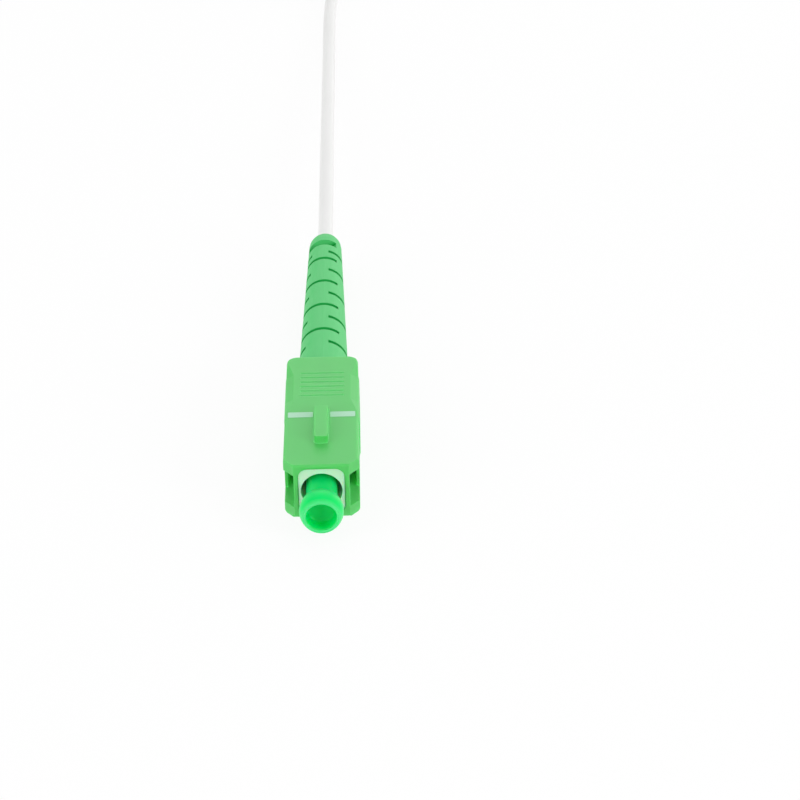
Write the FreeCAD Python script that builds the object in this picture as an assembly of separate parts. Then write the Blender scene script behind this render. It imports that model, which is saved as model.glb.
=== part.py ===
"""SC/APC simplex fibre connector on a white single-fibre pigtail.

Millimetres, +Z up, +Y towards the cable, +X to the right seen from the mating end.
The origin is the centre of the push-pull housing's flat underside. Lengths along the
connector are given as stations, measured back from the housing's front face.
"""

import FreeCAD
import Part

import math
import os

V = FreeCAD.Vector

# How far a cut runs past the face that it opens, and how deep a fused-on detail is rooted
OVERCUT = 1.0
ROOT = 0.3

# ---------------------------------------------------------------- driving dimensions
# Push-pull outer housing
GRIP_LENGTH = 25.0
GRIP_WIDTH = 9.0
GRIP_HEIGHT = 7.4
GRIP_EDGE_R = 0.35
GRIP_FRONT_EDGE = 0.2
GRIP_REAR_CORNER_R = 1.4
NOSE_CUT_ACROSS = 1.2
NOSE_CUT_BACK = 1.4
KEY_WIDTH = 1.7
KEY_HEIGHT = 1.0
KEY_START = 4.8
KEY_LENGTH = 6.9
KEY_RUN_OUT = 0.9
KEY_CORNER_R = 0.4

# Side channels and pockets that the adapter's two latch hooks run in
CHANNEL_DEPTH = 1.2
CHANNEL_HEIGHT = 4.5
CHANNEL_LENGTH = 4.5
BRIDGE_LENGTH = 4.0
HOOK_POCKET_END = 12.2
HOOK_POCKET_WALL = 0.4
RAMP_LENGTH = 2.0
RAMP_HEIGHT = 0.8
RAMP_ROOT = 0.2

# Finger grip: side pads, relieved top and bottom edges, fine grooves
PAD_START = 11.9
PAD_LENGTH = 9.5
PAD_PROUD = 0.12
PAD_HEIGHT = 4.8
PAD_BEVEL = 0.5
RELIEF_ACROSS = 0.95
RELIEF_DROP = 0.5
RELIEF_START = 11.2
RELIEF_LENGTH = 13.0
RELIEF_FADE = 3.6
GROOVE_COUNT = 6
GROOVE_START = 15.7
GROOVE_PITCH = 1.055
GROOVE_SPAN = 5.4
GROOVE_WIDTH = 0.3
GROOVE_DEPTH = 0.06

# Plug frame, the white inner housing
FRAME_WIDTH = 5.5
FRAME_HEIGHT = 6.2
FRAME_CORNER_R = 1.15
FRAME_SETBACK = 0.1
FRAME_LENGTH = 20.0
FRAME_RUN_GAP = 0.05
MATING_BORE_D = 4.95
MATING_BORE_DEPTH = 6.2
WEB_THICKNESS = 0.7
REAR_BORE_D = 4.6
BOSS_START = 5.5
BOSS_LENGTH = 1.9
BOSS_HEIGHT = 2.2
BOSS_PROUD = 0.5
BOSS_LIP = 0.1
LUG_START = 15.2
LUG_LENGTH = 1.5
LUG_HEIGHT = 2.6
LUG_PROUD = 0.5
LUG_GAP = 0.06
SLIT_HEIGHT = 0.6
SLIT_LENGTH = 2.9
GRIP_TRAVEL = 1.3
COLLAR_GAP = 0.2

# Ferrule with its metal flange and guide tube
FERRULE_D = 2.5
FERRULE_LENGTH = 10.5
FERRULE_PROUD = 0.6
TIP_D = 1.4
TIP_CONE = 0.6
END_FACE_DEG = 8.0
CAPILLARY_D = 0.16
FIBRE_D = 0.125
WEB_HOLE_GAP = 0.2
FLANGE_D = 4.35
FLANGE_FLATS = 4.1
FLANGE_COLLAR = 2.4
FLANGE_SLOT = 0.6
STEM_D = 3.0
STEM_LENGTH = 2.6
GUIDE_TUBE_D = 1.5
GUIDE_TUBE_REACH = 1.4
GUIDE_TUBE_SOCKET = 1.4
BUFFER_D = 0.9
BUFFER_GAP = 0.04
BUFFER_SETBACK = 0.3
FLOAT_TRAVEL = 1.0

# Ferrule spring
SPRING_D = 4.3
SPRING_WIRE = 0.45
SPRING_TURNS = 6.0
SPRING_WIRE_SIDES = 4
SPRING_END_GAP = 0.03

# Stop ring, the turned back post
STOP_SLEEVE_LENGTH = 4.33
STOP_SLEEVE_GAP = 0.03
STOP_BORE_D = 2.0
SNAP_LUG_LAND = 0.05
SNAP_LUG_WIDTH = 2.2
SNAP_LUG_LENGTH = 1.6
SNAP_LUG_REACH = 2.95
SNAP_LUG_BACK = 1.3
SNAP_GAP = 0.08
COLLAR_D = 5.9
COLLAR_LENGTH = 1.2
BARREL_D = 3.3
BARREL_LENGTH = 4.0
KNURL_COUNT = 12
KNURL_DEPTH = 0.12
KNURL_START = 0.4

# Crimped joint between the cable's yarn and the stop ring
YARN_THICKNESS = 0.28
YARN_TUCK = 0.1
CRIMP_WALL = 0.28
CRIMP_BARREL_LENGTH = 4.4
CRIMP_FLATS = 4.46
CRIMP_NECK_LENGTH = 2.4
CRIMP_CONE = 0.8
CRIMP_BAND_INSET = 0.5
CRIMP_GAP = 0.03
STRIP_GAP = 0.5

# Slotted bend-relief boot
BOOT_BASE_D = 6.5
BOOT_TIP_D = 4.55
BOOT_BASE_LENGTH = 3.62
BOOT_TAPER_LENGTH = 35.6
BOOT_TIP_LENGTH = 2.0
BOOT_TIP_FACE_D = 2.4
BOOT_TIP_FACETS = 4
BOOT_GAP = 0.05
BOOT_REAR_BORE_GAP = 0.2
SLOT_SETBACK = 8.72
SLOT_PITCH = 3.4
SLOT_LEVELS = 8
TIP_SLOT_PITCHES = (2.05, 2.8)
SLOT_WIDTH = 0.65
TIP_SLOT_WIDTH = 1.5
SLOT_ARC_DEG = 120.0
BOOT_TURN_DEG = 17.0

# Dust cap
CAP_NECK_D = 3.72
CAP_WEB_GAP = 0.3
CAP_NECK_OUT = 2.1
CAP_KNOB_D = 5.26
CAP_RIM_D = 4.7
CAP_FLARE = 0.9
CAP_KNOB_LENGTH = 2.5
CAP_RECESS_D = 3.8
CAP_RECESS_DEPTH = 2.0
CAP_BORE_GAP = 0.03
CAP_TIP_ROOM = 0.5
CAP_LEAD_IN = 0.3
CAP_MOUTH_FLARE = 0.25
CAP_NECK_EDGE = 0.15
CAP_SOFT_EDGE = 0.12
CAP_BAND = 0.9
CAP_RIM_START = 0.55
CAP_FLOOR_DROP = 0.4
CAP_FLOOR_EDGE = 0.55

# Cable, and the hank that its spare length is folded into
CABLE_D = 2.1
CABLE_LENGTH = 1000.0
HANK_STATION = 198.4
HANK_X = -4.8
HANK_RUN = 36.0
HANK_FOLD_R = 6.3
HANK_COLUMNS = 2
JOIN_TURN_DEG = 15.0
TIE_WIDTH = 5.0
TIE_THICKNESS = 0.5
TIE_EASE = 0.15
TIE_CORNER = 0.8

# ------------------------------------------------------------------- derived stations
AXIS_Z = GRIP_HEIGHT / 2
CAVITY_HALF = FRAME_WIDTH / 2 + FRAME_RUN_GAP
CAVITY_WIDTH = FRAME_WIDTH + 2 * FRAME_RUN_GAP
CAVITY_HEIGHT = FRAME_HEIGHT + 2 * FRAME_RUN_GAP
CHANNEL_FLOOR_X = GRIP_WIDTH / 2 - CHANNEL_DEPTH
FRAME_END = FRAME_SETBACK + FRAME_LENGTH
WEB_START = FRAME_SETBACK + MATING_BORE_DEPTH
FLANGE_STATION = WEB_START + WEB_THICKNESS
FERRULE_STATION = -FERRULE_PROUD
FERRULE_BACK = FERRULE_STATION + FERRULE_LENGTH
END_FACE_STATION = FERRULE_STATION + TIP_D / 2 * math.tan(math.radians(END_FACE_DEG))
BUFFER_STATION = FERRULE_BACK + BUFFER_SETBACK
COLLAR_BACK = FLANGE_STATION + FLANGE_COLLAR
STEM_BACK = COLLAR_BACK + STEM_LENGTH
CAP_NECK_IN = WEB_START - FLOAT_TRAVEL - CAP_WEB_GAP
STOP_COLLAR = FRAME_END + STOP_SLEEVE_GAP
STOP_STATION = STOP_COLLAR - STOP_SLEEVE_LENGTH
STOP_SLEEVE_D = REAR_BORE_D - 2 * STOP_SLEEVE_GAP
BARREL_STATION = STOP_COLLAR + COLLAR_LENGTH
BARREL_END = BARREL_STATION + BARREL_LENGTH
JACKET_STATION = BARREL_END + STRIP_GAP
YARN_IN_D = BARREL_D + 2 * CRIMP_GAP
YARN_OUT_D = YARN_IN_D + 2 * YARN_THICKNESS
CRIMP_IN_D = YARN_OUT_D + 2 * CRIMP_GAP
CRIMP_OUT_D = CRIMP_IN_D + 2 * CRIMP_WALL
CRIMP_STATION = BARREL_STATION + CRIMP_GAP
CRIMP_STEP = CRIMP_STATION + CRIMP_BARREL_LENGTH
NECK_IN_D = CABLE_D + 2 * CRIMP_GAP
NECK_OUT_D = NECK_IN_D + 2 * CRIMP_WALL
CRIMP_END = CRIMP_STEP + CRIMP_CONE + CRIMP_NECK_LENGTH
BOOT_START = BARREL_STATION + BOOT_GAP
BOOT_BASE_STATION = BOOT_START + BOOT_BASE_LENGTH
BOOT_TIP_STATION = BOOT_BASE_STATION + BOOT_TAPER_LENGTH
BOOT_END = BOOT_TIP_STATION + BOOT_TIP_LENGTH
CABLE_BORE_D = CABLE_D + 2 * BOOT_GAP
FOLD_Y = HANK_RUN / 2
WAIST_R = (FOLD_Y ** 2 + CABLE_D ** 2 / 4 - HANK_FOLD_R ** 2) / (2 * HANK_FOLD_R - CABLE_D)
WAIST_X = WAIST_R + CABLE_D / 2
LEAN = math.atan2(FOLD_Y, WAIST_X)
OUTER_TURN = (HANK_COLUMNS - 1) * CABLE_D
MEAN_FOLD_R = HANK_FOLD_R + OUTER_TURN / 2
LAP_LENGTH = 2 * (math.pi + 2 * LEAN) * MEAN_FOLD_R + 4 * LEAN * (WAIST_R - OUTER_TURN / 2)
JOIN_X = HANK_X + MEAN_FOLD_R * math.cos(math.radians(JOIN_TURN_DEG))
JOIN_STATION = HANK_STATION - FOLD_Y - MEAN_FOLD_R * math.sin(math.radians(JOIN_TURN_DEG))
HANK_LAPS = (CABLE_LENGTH - (JOIN_STATION - JACKET_STATION)) / LAP_LENGTH
HANK_HEIGHT = math.ceil(HANK_LAPS / HANK_COLUMNS) * CABLE_D


# ---------------------------------------------------------------------------- helpers
def at(station):
    """Row Y of a station."""
    return station - GRIP_LENGTH / 2


def block(x0, x1, z0, z1, s0, s1):
    return Part.makeBox(x1 - x0, s1 - s0, z1 - z0, V(x0, at(s0), z0))


def rod(diameter, s0, s1):
    return Part.makeCylinder(diameter / 2, s1 - s0, V(0, at(s0), AXIS_Z), V(0, 1, 0))


def tube(outer_d, inner_d, s0, s1):
    return rod(outer_d, s0, s1).cut(rod(inner_d, s0 - OVERCUT, s1 + OVERCUT))


def turned(profile):
    """Solid of revolution about the fibre axis from a closed (station, radius) outline."""
    points = [V(0, at(s), AXIS_Z + r) for s, r in profile]
    face = Part.Face(Part.makePolygon(points + points[:1]))
    return face.revolve(V(0, 0, AXIS_Z), V(0, 1, 0), 360)


def along_y(edge):
    if not isinstance(edge.Curve, (Part.Line, Part.LineSegment)):
        return False
    ends = [v.Point for v in edge.Vertexes]
    return abs(ends[0].x - ends[1].x) < 1e-6 and abs(ends[0].z - ends[1].z) < 1e-6


def upright(edge):
    if not isinstance(edge.Curve, (Part.Line, Part.LineSegment)):
        return False
    ends = [v.Point for v in edge.Vertexes]
    return abs(ends[0].x - ends[1].x) < 1e-6 and abs(ends[0].y - ends[1].y) < 1e-6


def rounded_bar(width, height, radius, s0, s1):
    """Bar centred on the fibre axis with its long edges rounded."""
    bar = block(-width / 2, width / 2, AXIS_Z - height / 2, AXIS_Z + height / 2, s0, s1)
    return bar.makeFillet(radius, [e for e in bar.Edges if along_y(e)])


def plan_prism(outline, z0, z1):
    """Prism between two heights from an (x, station) outline."""
    points = [V(x, at(s), z0) for x, s in outline]
    return Part.Face(Part.makePolygon(points + points[:1])).extrude(V(0, 0, z1 - z0))


def section_prism(outline, s0, s1):
    """Prism between two stations from an (x, z) outline."""
    points = [V(x, at(s0), z) for x, z in outline]
    return Part.Face(Part.makePolygon(points + points[:1])).extrude(V(0, s1 - s0, 0))


def side_prism(outline, width):
    """Prism across the middle plane from a (station, z) outline."""
    points = [V(-width / 2, at(s), z) for s, z in outline]
    return Part.Face(Part.makePolygon(points + points[:1])).extrude(V(width, 0, 0))


def mirrored(shape):
    """The shape and its copy on the other side of the middle plane, X = 0."""
    return [shape, shape.mirror(V(0, 0, 0), V(1, 0, 0))]


def four_corners(shape):
    """The shape, and its copies across X = 0 and across the fibre axis' level plane."""
    pair = mirrored(shape)
    return pair + [s.mirror(V(0, 0, AXIS_Z), V(0, 0, 1)) for s in pair]


def hexagon_bar(flats, s0, s1):
    corner = flats / math.sqrt(3)
    outline = []
    for k in range(6):
        turn = math.radians(60 * k)
        outline.append((corner * math.cos(turn), AXIS_Z + corner * math.sin(turn)))
    return section_prism(outline, s0, s1)


# --------------------------------------------------------------------- outer housing
def edge_relief():
    """Cutter for the bevel along a long edge of the grip, which fades out towards both ends."""
    half = GRIP_WIDTH / 2
    end = RELIEF_START + RELIEF_LENGTH
    sections = []
    for station, share in ((RELIEF_START, 0), (RELIEF_START + RELIEF_FADE, 1), (end - RELIEF_FADE, 1),
                           (end, 0)):
        x = half - share * RELIEF_ACROSS
        drop = RELIEF_DROP / RELIEF_ACROSS * (half + OVERCUT - x)
        corners = [(x, GRIP_HEIGHT), (x, GRIP_HEIGHT + OVERCUT),
                   (half + OVERCUT, GRIP_HEIGHT + OVERCUT), (half + OVERCUT, GRIP_HEIGHT - drop)]
        points = [V(px, at(station), pz) for px, pz in corners]
        sections.append(Part.makePolygon(points + points[:1]))
    return Part.makeLoft(sections, True, True)


def housing_shell():
    """Outside of the push-pull housing: block, nose cuts, rounded rear corners, grip pads."""
    half = GRIP_WIDTH / 2
    body = rounded_bar(GRIP_WIDTH, GRIP_HEIGHT, GRIP_EDGE_R, 0, GRIP_LENGTH)
    plan = block(-half, half, 0, GRIP_HEIGHT, 0, GRIP_LENGTH)
    rear = [e for e in plan.Edges if upright(e) and e.Vertexes[0].Point.y > 0]
    body = body.common(plan.makeFillet(GRIP_REAR_CORNER_R, rear))
    outside = half + OVERCUT
    nose = [(half - NOSE_CUT_ACROSS, 0), (outside, -NOSE_CUT_BACK / NOSE_CUT_ACROSS),
            (outside, NOSE_CUT_BACK), (half, NOSE_CUT_BACK)]
    body = body.cut(mirrored(plan_prism(nose, -OVERCUT, GRIP_HEIGHT + OVERCUT)))
    front = [e for e in body.Edges
             if max(v.Point.y for v in e.Vertexes) < at(0) + 1e-6 and not upright(e)]
    body = body.makeChamfer(GRIP_FRONT_EDGE, front)

    pad_end = PAD_START + PAD_LENGTH
    low = AXIS_Z - PAD_HEIGHT / 2
    high = AXIS_Z + PAD_HEIGHT / 2
    pad = section_prism([(half - PAD_PROUD, low - 2 * PAD_BEVEL), (half + PAD_PROUD, low),
                         (half + PAD_PROUD, high), (half - PAD_PROUD, high + 2 * PAD_BEVEL)],
                        PAD_START, pad_end)
    return body.fuse(mirrored(pad)).cut(four_corners(edge_relief()))


def grip_grooves():
    """Fine cross grooves on the top, the underside and both side pads."""
    cuts = []
    half = GROOVE_SPAN / 2
    pad_x = GRIP_WIDTH / 2 + PAD_PROUD
    low = AXIS_Z - PAD_HEIGHT / 2
    high = AXIS_Z + PAD_HEIGHT / 2
    for k in range(GROOVE_COUNT):
        front = GROOVE_START + k * GROOVE_PITCH - GROOVE_WIDTH / 2
        back = front + GROOVE_WIDTH
        for z in (0, GRIP_HEIGHT):
            cuts.append(block(-half, half, z - GROOVE_DEPTH, z + GROOVE_DEPTH, front, back))
        cuts += mirrored(block(pad_x - GROOVE_DEPTH, pad_x + OVERCUT, low, high, front, back))
    return cuts


def housing_key():
    """Key on the top face, with rounded front corners and a run-out at its rear end."""
    end = KEY_START + KEY_LENGTH
    top = GRIP_HEIGHT + KEY_HEIGHT
    bar = side_prism([(KEY_START, GRIP_HEIGHT - ROOT), (KEY_START, top), (end, top),
                      (end + KEY_RUN_OUT, GRIP_HEIGHT), (end + KEY_RUN_OUT, GRIP_HEIGHT - ROOT)], KEY_WIDTH)
    front = [e for e in bar.Edges if upright(e) and e.Vertexes[0].Point.y < at(end)]
    return bar.makeFillet(KEY_CORNER_R, front)


def outer_housing():
    """Push-pull housing: it slides on the plug frame and lets the adapter's hooks go."""
    low = AXIS_Z - CHANNEL_HEIGHT / 2
    high = AXIS_Z + CHANNEL_HEIGHT / 2
    half = GRIP_WIDTH / 2
    body = housing_shell().fuse(housing_key())

    cavity_r = FRAME_CORNER_R + FRAME_RUN_GAP
    cavity = rounded_bar(CAVITY_WIDTH, CAVITY_HEIGHT, cavity_r, -OVERCUT, GRIP_LENGTH + OVERCUT)
    boot_clear_d = BOOT_BASE_D + 2 * BOOT_REAR_BORE_GAP
    boot_bore = rod(boot_clear_d, FRAME_END - GRIP_TRAVEL - COLLAR_GAP, GRIP_LENGTH + OVERCUT)
    channel = block(CHANNEL_FLOOR_X, half + OVERCUT, low, high, -OVERCUT, CHANNEL_LENGTH)
    inside = CAVITY_HALF - OVERCUT
    pocket = block(inside, half - HOOK_POCKET_WALL, low, high, BRIDGE_LENGTH, HOOK_POCKET_END)
    lug_half = LUG_HEIGHT / 2 + LUG_GAP
    lug_pocket = block(inside, CAVITY_HALF + LUG_PROUD, AXIS_Z - lug_half, AXIS_Z + lug_half,
                       LUG_START - GRIP_TRAVEL - LUG_GAP, LUG_START + LUG_LENGTH + LUG_GAP)
    cuts = [cavity, boot_bore] + mirrored(channel) + mirrored(pocket) + mirrored(lug_pocket)
    body = body.cut(cuts + grip_grooves())

    ramp = plan_prism([(CAVITY_HALF, BRIDGE_LENGTH - ROOT), (CHANNEL_FLOOR_X, BRIDGE_LENGTH - ROOT),
                       (CHANNEL_FLOOR_X, BRIDGE_LENGTH), (CAVITY_HALF, BRIDGE_LENGTH + RAMP_LENGTH)],
                      high - RAMP_HEIGHT, high + RAMP_ROOT)
    return body.fuse(four_corners(ramp)).removeSplitter()


# ------------------------------------------------------------------------ plug frame
def plug_frame():
    """Inner housing: mating bore, web that the ferrule's flange seats on, spring bore."""
    half = FRAME_WIDTH / 2
    body = rounded_bar(FRAME_WIDTH, FRAME_HEIGHT, FRAME_CORNER_R, FRAME_SETBACK, FRAME_END)
    root = half - ROOT
    boss_end = BOSS_START + BOSS_LENGTH
    boss = plan_prism([(root, BOSS_START), (half + BOSS_LIP, BOSS_START),
                       (half + BOSS_PROUD, BOSS_START + BOSS_LENGTH / 2), (half + BOSS_PROUD, boss_end),
                       (root, boss_end)], AXIS_Z - BOSS_HEIGHT / 2, AXIS_Z + BOSS_HEIGHT / 2)
    lug_end = LUG_START + LUG_LENGTH
    lug = plan_prism([(root, LUG_START), (half + LUG_PROUD, LUG_START),
                      (half + LUG_PROUD, LUG_START + LUG_LENGTH / 2), (half + BOSS_LIP, lug_end),
                      (root, lug_end)], AXIS_Z - LUG_HEIGHT / 2, AXIS_Z + LUG_HEIGHT / 2)
    body = body.fuse(mirrored(boss) + mirrored(lug))

    mating_bore = rod(MATING_BORE_D, -OVERCUT, WEB_START)
    web_hole = rod(FERRULE_D + 2 * WEB_HOLE_GAP, WEB_START - OVERCUT, FLANGE_STATION + OVERCUT)
    rear_bore = rod(REAR_BORE_D, FLANGE_STATION, FRAME_END + OVERCUT)
    snap_half = SNAP_LUG_WIDTH / 2 + SNAP_GAP
    snap_start = FRAME_END - SNAP_LUG_BACK - SNAP_LUG_LENGTH
    windows = block(-snap_half, snap_half, -OVERCUT, GRIP_HEIGHT + OVERCUT,
                    snap_start - SNAP_GAP, snap_start + SNAP_LUG_LENGTH + SNAP_GAP)
    slit = block(0, half + OVERCUT, AXIS_Z - SLIT_HEIGHT / 2, AXIS_Z + SLIT_HEIGHT / 2,
                 FRAME_END - SLIT_LENGTH, FRAME_END + OVERCUT)
    return body.cut([mating_bore, web_hole, rear_bore, windows] + mirrored(slit)).removeSplitter()


# ------------------------------------------------------------------ ferrule assembly
def ferrule():
    """Zirconia ferrule with a coned tip, an angled end face and a capillary for the fibre."""
    r = FERRULE_D / 2
    body = turned([(FERRULE_STATION, 0), (FERRULE_STATION, TIP_D / 2), (FERRULE_STATION + TIP_CONE, r),
                   (FERRULE_BACK, r), (FERRULE_BACK, 0)])
    rise = r * math.tan(math.radians(END_FACE_DEG))
    ahead = FERRULE_STATION - OVERCUT
    low_side = END_FACE_STATION - rise
    high_side = END_FACE_STATION + rise
    off_cut = side_prism([(ahead, AXIS_Z - r), (low_side, AXIS_Z - r), (high_side, AXIS_Z + r),
                          (ahead, AXIS_Z + r)], FERRULE_D)
    return body.cut([off_cut, rod(CAPILLARY_D, ahead, FERRULE_BACK + OVERCUT)])


def bare_fibre():
    """Glass fibre from the end face through the ferrule to the end of its buffer."""
    return rod(FIBRE_D, END_FACE_STATION, BUFFER_STATION)


def ferrule_flange():
    """Turned flange pressed on the ferrule: six flats and two key slots, and a stem behind."""
    collar = rod(FLANGE_D, FLANGE_STATION, COLLAR_BACK)
    ahead = FLANGE_STATION - OVERCUT
    behind = STEM_BACK + OVERCUT
    collar = collar.common(hexagon_bar(FLANGE_FLATS, ahead, behind))
    stem = rod(STEM_D, COLLAR_BACK - ROOT, STEM_BACK)
    key_slot = block(-FLANGE_SLOT / 2, FLANGE_SLOT / 2, AXIS_Z + STEM_D / 2, AXIS_Z + FLANGE_D,
                     ahead, behind)
    key_slots = [key_slot, key_slot.mirror(V(0, 0, AXIS_Z), V(0, 0, 1))]
    ferrule_bore = rod(FERRULE_D, ahead, FERRULE_BACK)
    buffer_bore = rod(BUFFER_D + 2 * BUFFER_GAP, FERRULE_BACK - OVERCUT, behind)
    socket = rod(GUIDE_TUBE_D, STEM_BACK - GUIDE_TUBE_SOCKET, behind)
    return collar.fuse(stem).cut(key_slots + [ferrule_bore, buffer_bore, socket]).removeSplitter()


def guide_tube():
    """Plastic tube that guides the buffered fibre through the spring and the stop ring."""
    start = STEM_BACK - GUIDE_TUBE_SOCKET
    return tube(GUIDE_TUBE_D, BUFFER_D + 2 * BUFFER_GAP, start, STOP_STATION + GUIDE_TUBE_REACH)


def buffered_fibre():
    """Buffered fibre up to the stripped jacket, less the room that the ferrule's travel needs."""
    return rod(BUFFER_D, BUFFER_STATION, JACKET_STATION - FLOAT_TRAVEL - BUFFER_GAP)


def ferrule_spring():
    """Compression spring between the flange's collar and the stop ring."""
    radius = (SPRING_D - SPRING_WIRE) / 2
    height = STOP_STATION - COLLAR_BACK - SPRING_WIRE - 2 * SPRING_END_GAP
    helix = Part.makeHelix(height / SPRING_TURNS, height, radius)
    wire = Part.Wire(helix.Edges)
    corners = []
    for k in range(SPRING_WIRE_SIDES):
        turn = 2 * math.pi * k / SPRING_WIRE_SIDES
        corners.append(V(radius + SPRING_WIRE / 2 * math.cos(turn), 0, SPRING_WIRE / 2 * math.sin(turn)))
    coil = wire.makePipeShell([Part.makePolygon(corners + corners[:1])], True, True)
    coil.rotate(V(0, 0, 0), V(1, 0, 0), -90)
    coil.translate(V(0, at(COLLAR_BACK + SPRING_END_GAP + SPRING_WIRE / 2), AXIS_Z))
    return coil


# ------------------------------------------------------------ stop ring and crimping
def stop_ring():
    """Turned back post: sleeve with two snap lugs, collar, and a knurled crimp barrel."""
    r = STOP_SLEEVE_D / 2
    bore = STOP_BORE_D / 2
    collar = COLLAR_D / 2
    barrel = BARREL_D / 2
    body = turned([(STOP_STATION, bore), (STOP_STATION, r), (STOP_COLLAR, r), (STOP_COLLAR, collar),
                   (BARREL_STATION, collar), (BARREL_STATION, barrel), (BARREL_END, barrel),
                   (BARREL_END, bore)])
    start = FRAME_END - SNAP_LUG_BACK - SNAP_LUG_LENGTH
    reach = AXIS_Z + SNAP_LUG_REACH
    land = AXIS_Z + r + SNAP_LUG_LAND
    end = start + SNAP_LUG_LENGTH
    root = AXIS_Z + r - ROOT
    lug = side_prism([(start, root), (start, land), (start + reach - land, reach), (end, reach),
                      (end, root)], SNAP_LUG_WIDTH)
    body = body.fuse([lug, lug.mirror(V(0, 0, AXIS_Z), V(0, 0, 1))])
    grooves = []
    for k in range(KNURL_COUNT):
        groove = block(-KNURL_DEPTH, KNURL_DEPTH, AXIS_Z + barrel - KNURL_DEPTH, AXIS_Z + BARREL_D,
                       BARREL_STATION + KNURL_START, BARREL_END + OVERCUT)
        groove.rotate(V(0, 0, AXIS_Z), V(0, 1, 0), 360.0 * k / KNURL_COUNT)
        grooves.append(groove)
    return body.cut(grooves)


def aramid_yarn():
    """The cable's yarn, folded forward out of the jacket and spread round the knurled barrel."""
    inner = YARN_IN_D / 2
    outer = YARN_OUT_D / 2
    core = BUFFER_D / 2 + CRIMP_GAP
    past_barrel = BARREL_END + CRIMP_GAP
    return turned([(CRIMP_STATION, inner), (CRIMP_STATION, outer), (past_barrel, outer),
                   (JACKET_STATION, CABLE_D / 2 - YARN_TUCK), (JACKET_STATION, core + 2 * YARN_TUCK),
                   (past_barrel, inner)])


def crimp_ring():
    """Stepped crimp ring: a hexagon pressed over yarn and barrel, and a neck on the jacket."""
    wide_in = CRIMP_IN_D / 2
    wide_out = CRIMP_OUT_D / 2
    neck_in = NECK_IN_D / 2
    neck_out = NECK_OUT_D / 2
    ring = turned([(CRIMP_STATION, wide_in), (CRIMP_STATION, wide_out), (CRIMP_STEP, wide_out),
                   (CRIMP_STEP + CRIMP_CONE, neck_out), (CRIMP_END, neck_out), (CRIMP_END, neck_in),
                   (CRIMP_STEP + CRIMP_CONE, neck_in), (CRIMP_STEP, wide_in)])
    start = CRIMP_STATION + CRIMP_BAND_INSET
    end = CRIMP_STEP - CRIMP_BAND_INSET
    band = rod(CRIMP_OUT_D + OVERCUT, start, end).cut(hexagon_bar(CRIMP_FLATS, start, end))
    return ring.cut(band)


# ------------------------------------------------------------------------------ boot
def slot_stations():
    """Stations of the bend slots: evenly pitched, then closer, and the wide last one at the tip."""
    first = BOOT_START + SLOT_SETBACK
    stations = [first + k * SLOT_PITCH for k in range(SLOT_LEVELS)]
    for pitch in TIP_SLOT_PITCHES:
        stations.append(stations[-1] + pitch)
    return stations


def slot_pair(station, width, turn_deg):
    """Two opposite arc slots across the boot's wall, the first centred turn_deg from the top."""
    ring = tube(2 * BOOT_BASE_D, CABLE_D, station - width, station + width)
    slots = []
    for side in (0, 180):
        centre = V(0, at(station) - width / 2, AXIS_Z)
        wedge = Part.makeCylinder(BOOT_BASE_D, width, centre, V(0, 1, 0), SLOT_ARC_DEG)
        wedge.rotate(centre, V(0, 1, 0), turn_deg + side - SLOT_ARC_DEG / 2)
        slots.append(wedge.common(ring))
    return slots


def boot():
    """Soft tapered boot; pairs of slots, each level turned a quarter from the last, let it bend."""
    base = BOOT_BASE_D / 2
    tip = BOOT_TIP_D / 2
    ring_bore = CRIMP_OUT_D / 2 + BOOT_GAP
    neck_bore = NECK_OUT_D / 2 + BOOT_GAP
    cable_bore = CABLE_BORE_D / 2
    rounding = []
    for k in range(1, BOOT_TIP_FACETS):
        turn = math.pi / 2 * k / BOOT_TIP_FACETS
        rounding.append((BOOT_TIP_STATION + (BOOT_END - BOOT_TIP_STATION) * math.sin(turn),
                         BOOT_TIP_FACE_D / 2 + (tip - BOOT_TIP_FACE_D / 2) * math.cos(turn)))
    outline = [(BOOT_START, ring_bore), (BOOT_START, base), (BOOT_BASE_STATION, base),
               (BOOT_TIP_STATION, tip)]
    outline += rounding
    outline += [(BOOT_END, BOOT_TIP_FACE_D / 2), (BOOT_END, cable_bore), (CRIMP_END + BOOT_GAP, cable_bore),
                (CRIMP_END + BOOT_GAP, neck_bore), (CRIMP_STEP + CRIMP_CONE, neck_bore),
                (CRIMP_STEP + BOOT_GAP, ring_bore)]
    body = turned(outline)
    cuts = []
    stations = slot_stations()
    for k, station in enumerate(stations):
        turn = -BOOT_TURN_DEG + (90 if k % 2 == 0 else 0)
        width = TIP_SLOT_WIDTH if k == len(stations) - 1 else SLOT_WIDTH
        cuts += slot_pair(station, width, turn)
    return body.cut(cuts)


# -------------------------------------------------------------------------- dust cap
def dust_cap():
    """Push-on cap: a thin sleeve round the ferrule, and a rounded knob with a deep recess."""
    bore = FERRULE_D / 2 + CAP_BORE_GAP
    neck = CAP_NECK_D / 2
    knob = CAP_KNOB_D / 2
    rim = CAP_RIM_D / 2
    recess = CAP_RECESS_D / 2
    lead = CAP_NECK_IN - CAP_LEAD_IN
    flare = -(CAP_NECK_OUT + CAP_FLARE)
    front = flare - CAP_KNOB_LENGTH
    floor = front + CAP_RECESS_DEPTH
    tip = FERRULE_STATION - CAP_TIP_ROOM
    inside = [(tip, 0), (tip, bore), (lead, bore), (CAP_NECK_IN, bore + CAP_MOUTH_FLARE)]
    sleeve = [(CAP_NECK_IN, neck - CAP_NECK_EDGE), (lead, neck), (-CAP_NECK_OUT, neck)]
    grip = [(flare, knob), (flare - CAP_BAND, knob), (front + CAP_RIM_START, knob - CAP_SOFT_EDGE)]
    lip = [(front, rim), (front, recess + CAP_SOFT_EDGE), (front + CAP_SOFT_EDGE, recess)]
    hollow = [(floor - CAP_FLOOR_DROP, recess), (floor, recess - CAP_FLOOR_EDGE), (floor, 0)]
    return turned(inside + sleeve + grip + lip + hollow)


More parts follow.
